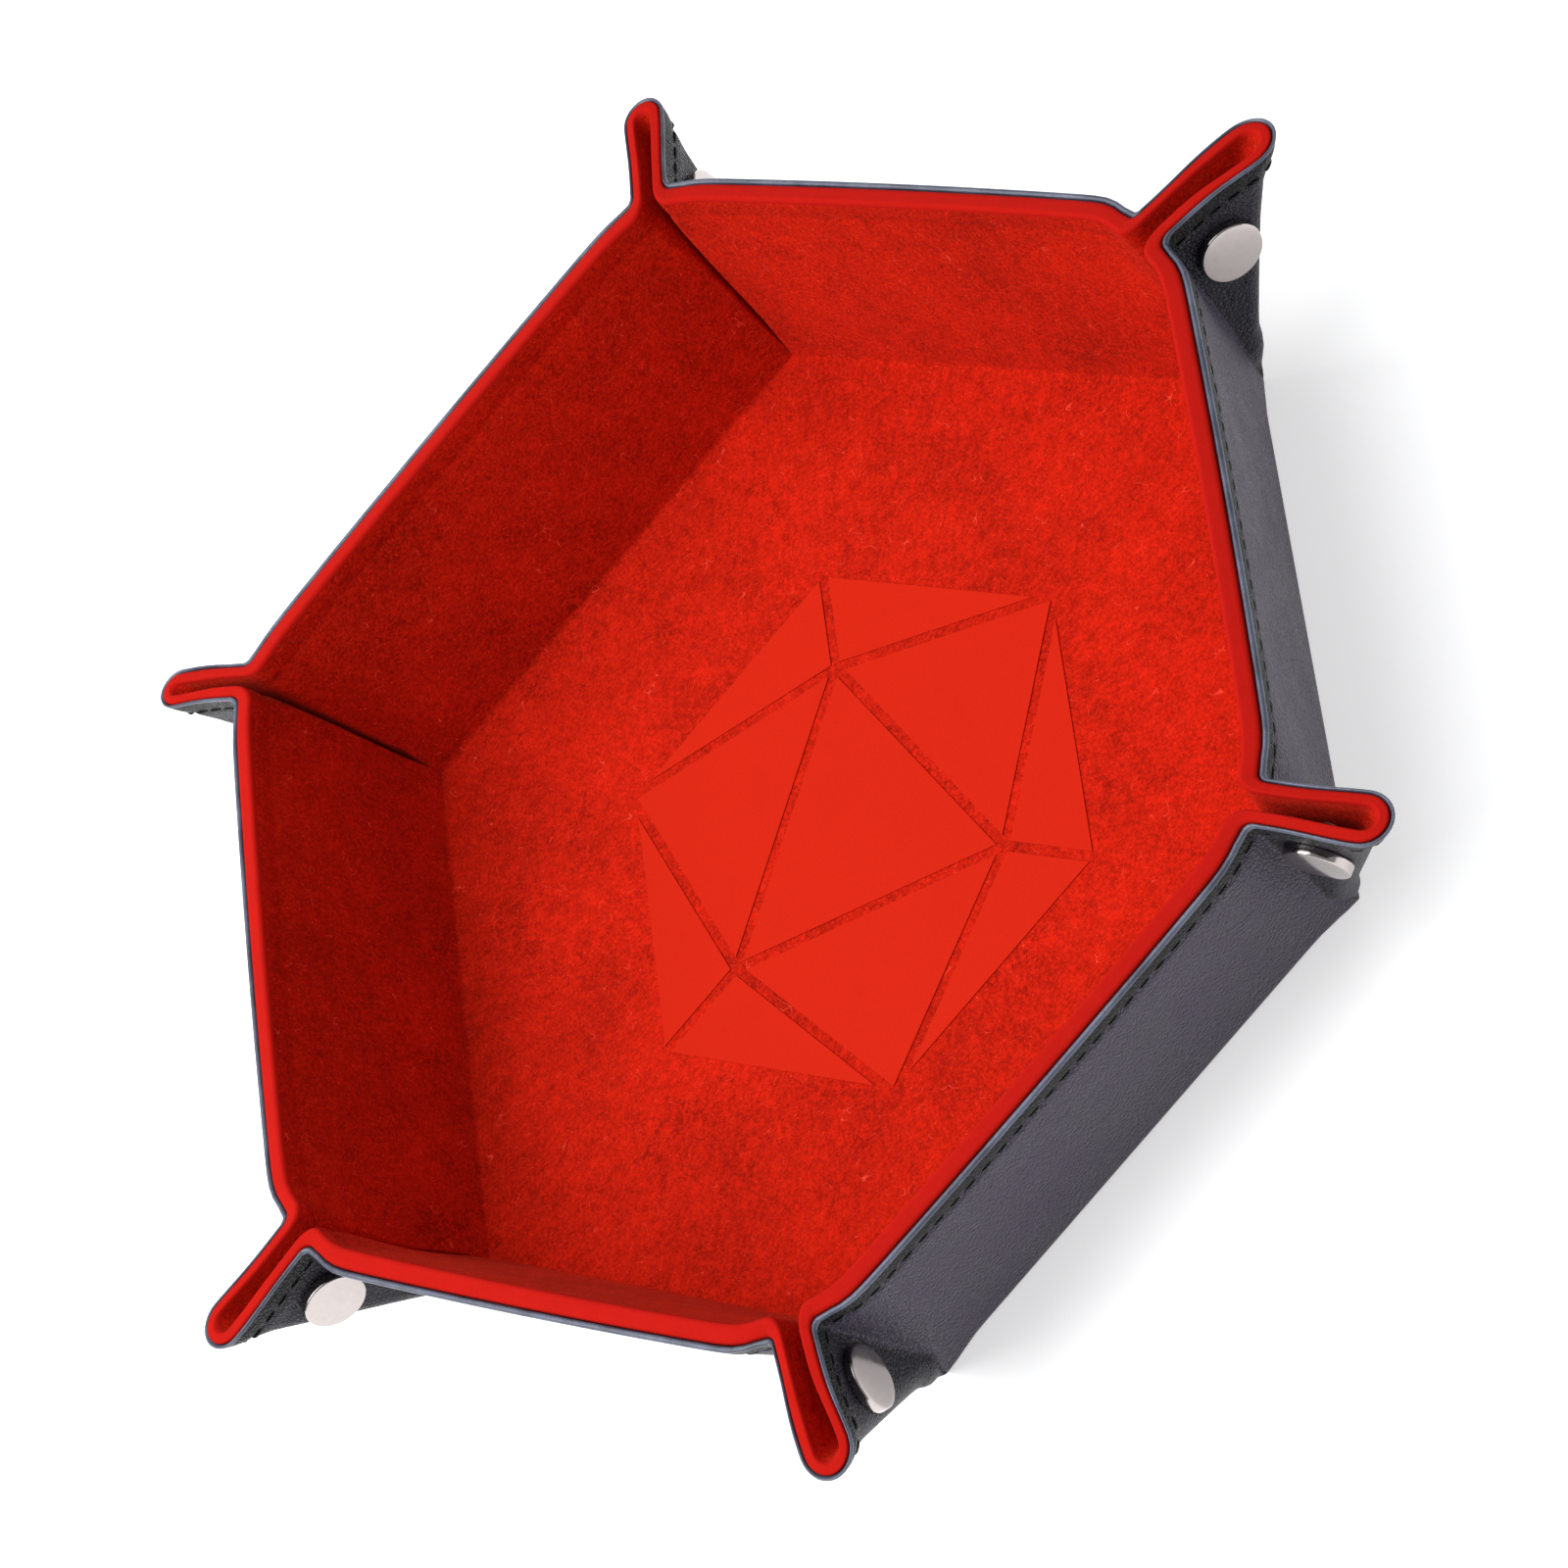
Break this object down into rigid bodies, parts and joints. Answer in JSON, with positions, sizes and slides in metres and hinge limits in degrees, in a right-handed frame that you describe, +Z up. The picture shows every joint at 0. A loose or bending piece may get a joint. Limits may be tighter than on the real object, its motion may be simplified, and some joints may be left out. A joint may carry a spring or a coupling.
{
  "type": "folding dice tray",
  "caption": "Hexagonal folding dice tray: leather outside, velvet inside, snapped corner ears, walls that fold out flat.",
  "frame": {"origin": "middle of the underside of the floor", "axes": "+Z up, +X towards corner ear 2, -Y towards wall 1, which faces the front"},
  "size_m": [0.2725, 0.2379, 0.047],
  "materials": {
    "leather": "satin, fine pebble grain, black",
    "velvet": "short pile velvet, red",
    "board": "matt grey paperboard",
    "nickel": "polished nickel plate",
    "print": "matt heat transfer, orange red"
  },
  "bodies": {
    "root": {"floor_cover": "leather", "floor_board": "board", "floor_lining": "velvet", "floor_print": "print"},
    "wall_1": {"wall_1_cover": "leather", "wall_1_board": "board", "wall_1_lining": "velvet"},
    "ear_1_left": {"ear_1_left_flap": "leather", "ear_1_left_cap": "nickel", "ear_1_socket": "nickel"},
    "ear_1_right": {"ear_1_right_flap": "leather", "ear_1_right_cap": "nickel", "ear_1_stud": "nickel"},
    "wall_2": {"wall_2_cover": "leather", "wall_2_board": "board", "wall_2_lining": "velvet"},
    "ear_2_left": {"ear_2_left_flap": "leather", "ear_2_left_cap": "nickel", "ear_2_socket": "nickel"},
    "ear_2_right": {"ear_2_right_flap": "leather", "ear_2_right_cap": "nickel", "ear_2_stud": "nickel"},
    "wall_3": {"wall_3_cover": "leather", "wall_3_board": "board", "wall_3_lining": "velvet"},
    "ear_3_left": {"ear_3_left_flap": "leather", "ear_3_left_cap": "nickel", "ear_3_socket": "nickel"},
    "ear_3_right": {"ear_3_right_flap": "leather", "ear_3_right_cap": "nickel", "ear_3_stud": "nickel"},
    "wall_4": {"wall_4_cover": "leather", "wall_4_board": "board", "wall_4_lining": "velvet"},
    "ear_4_left": {"ear_4_left_flap": "leather", "ear_4_left_cap": "nickel", "ear_4_socket": "nickel"},
    "ear_4_right": {"ear_4_right_flap": "leather", "ear_4_right_cap": "nickel", "ear_4_stud": "nickel"},
    "wall_5": {"wall_5_cover": "leather", "wall_5_board": "board", "wall_5_lining": "velvet"},
    "ear_5_left": {"ear_5_left_flap": "leather", "ear_5_left_cap": "nickel", "ear_5_socket": "nickel"},
    "ear_5_right": {"ear_5_right_flap": "leather", "ear_5_right_cap": "nickel", "ear_5_stud": "nickel"},
    "wall_6": {"wall_6_cover": "leather", "wall_6_board": "board", "wall_6_lining": "velvet"},
    "ear_6_left": {"ear_6_left_flap": "leather", "ear_6_left_cap": "nickel", "ear_6_socket": "nickel"},
    "ear_6_right": {"ear_6_right_flap": "leather", "ear_6_right_cap": "nickel", "ear_6_stud": "nickel"}
  },
  "joints": [
    {"name": "wall_1_fold", "type": "hinge", "parent": "root", "child": "wall_1", "pos_m": [0, -0.08829, 0.0022], "axis": [1, 0, 0], "range_deg": [0, 75]},
    {"name": "wall_2_fold", "type": "hinge", "parent": "root", "child": "wall_2", "pos_m": [0.07646, -0.04415, 0.0022], "axis": [0.5, 0.866, 0], "range_deg": [0, 75]},
    {"name": "wall_3_fold", "type": "hinge", "parent": "root", "child": "wall_3", "pos_m": [0.07646, 0.04415, 0.0022], "axis": [-0.5, 0.866, 0], "range_deg": [0, 75]},
    {"name": "wall_4_fold", "type": "hinge", "parent": "root", "child": "wall_4", "pos_m": [0, 0.08829, 0.0022], "axis": [-1, 0, 0], "range_deg": [0, 75]},
    {"name": "wall_5_fold", "type": "hinge", "parent": "root", "child": "wall_5", "pos_m": [-0.07646, 0.04415, 0.0022], "axis": [-0.5, -0.866, 0], "range_deg": [0, 75]},
    {"name": "wall_6_fold", "type": "hinge", "parent": "root", "child": "wall_6", "pos_m": [-0.07646, -0.04415, 0.0022], "axis": [0.5, -0.866, 0], "range_deg": [0, 75]},
    {"name": "ear_1_left_fold", "type": "hinge", "parent": "wall_1", "child": "ear_1_left", "pos_m": [0.04832, -0.08829, 0.0022], "axis": [0.1478, -0.256, 0.9553], "range_deg": [0, 61.13]},
    {"name": "ear_1_right_fold", "type": "hinge", "parent": "ear_1_left", "child": "ear_1_right", "pos_m": [0.05154, -0.08928, 0.00129], "axis": [-0.3126, 0.5414, -0.7805], "range_deg": [0, 179.35]},
    {"name": "ear_2_left_fold", "type": "hinge", "parent": "wall_2", "child": "ear_2_left", "pos_m": [0.10062, -0.0023, 0.0022], "axis": [0.2956, 0, 0.9553], "range_deg": [0, 66.13]},
    {"name": "ear_2_right_fold", "type": "hinge", "parent": "ear_2_left", "child": "ear_2_right", "pos_m": [0.10308, -0.00023, 0.00129], "axis": [-0.6238, 0.0319, -0.7809], "range_deg": [0, 179.35]},
    {"name": "ear_3_left_fold", "type": "hinge", "parent": "wall_3", "child": "ear_3_left", "pos_m": [0.0523, 0.08599, 0.0022], "axis": [0.1478, 0.256, 0.9553], "range_deg": [0, 59.63]},
    {"name": "ear_3_right_fold", "type": "hinge", "parent": "ear_3_left", "child": "ear_3_right", "pos_m": [0.05148, 0.08931, 0.00129], "axis": [-0.3042, -0.5461, -0.7805], "range_deg": [0, 179.35]},
    {"name": "ear_4_left_fold", "type": "hinge", "parent": "wall_4", "child": "ear_4_left", "pos_m": [-0.04832, 0.08829, 0.0022], "axis": [-0.1478, 0.256, 0.9553], "range_deg": [0, 56.13]},
    {"name": "ear_4_right_fold", "type": "hinge", "parent": "ear_4_left", "child": "ear_4_right", "pos_m": [-0.05174, 0.08915, 0.00129], "axis": [0.3396, -0.5243, -0.7809], "range_deg": [0, 179.35]},
    {"name": "ear_5_left_fold", "type": "hinge", "parent": "wall_5", "child": "ear_5_left", "pos_m": [-0.10062, 0.0023, 0.0022], "axis": [-0.2956, 0, 0.9553], "range_deg": [0, 65.13]},
    {"name": "ear_5_right_fold", "type": "hinge", "parent": "ear_5_left", "child": "ear_5_right", "pos_m": [-0.10308, 0.00018, 0.00129], "axis": [0.6243, -0.0256, -0.7808], "range_deg": [0, 179.35]},
    {"name": "ear_6_left_fold", "type": "hinge", "parent": "wall_6", "child": "ear_6_left", "pos_m": [-0.0523, -0.08599, 0.0022], "axis": [-0.1478, -0.256, 0.9553], "range_deg": [0, 56.13]},
    {"name": "ear_6_right_fold", "type": "hinge", "parent": "ear_6_left", "child": "ear_6_right", "pos_m": [-0.05134, -0.08938, 0.00129], "axis": [0.2842, 0.5562, -0.7809], "range_deg": [0, 179.35]}
  ],
  "couplings": [
    {"joint": "wall_2_fold", "follows": "wall_1_fold", "ratio": 1},
    {"joint": "wall_3_fold", "follows": "wall_1_fold", "ratio": 1},
    {"joint": "wall_4_fold", "follows": "wall_1_fold", "ratio": 1},
    {"joint": "wall_5_fold", "follows": "wall_1_fold", "ratio": 1},
    {"joint": "wall_6_fold", "follows": "wall_1_fold", "ratio": 1},
    {"joint": "ear_1_left_fold", "follows": "wall_1_fold", "ratio": 0.81495},
    {"joint": "ear_1_right_fold", "follows": "wall_1_fold", "ratio": 2.39},
    {"joint": "ear_2_left_fold", "follows": "wall_1_fold", "ratio": 0.88161},
    {"joint": "ear_2_right_fold", "follows": "wall_1_fold", "ratio": 2.39},
    {"joint": "ear_3_left_fold", "follows": "wall_1_fold", "ratio": 0.79495},
    {"joint": "ear_3_right_fold", "follows": "wall_1_fold", "ratio": 2.39},
    {"joint": "ear_4_left_fold", "follows": "wall_1_fold", "ratio": 0.74828},
    {"joint": "ear_4_right_fold", "follows": "wall_1_fold", "ratio": 2.39},
    {"joint": "ear_5_left_fold", "follows": "wall_1_fold", "ratio": 0.86828},
    {"joint": "ear_5_right_fold", "follows": "wall_1_fold", "ratio": 2.39},
    {"joint": "ear_6_left_fold", "follows": "wall_1_fold", "ratio": 0.74828},
    {"joint": "ear_6_right_fold", "follows": "wall_1_fold", "ratio": 2.39}
  ]
}
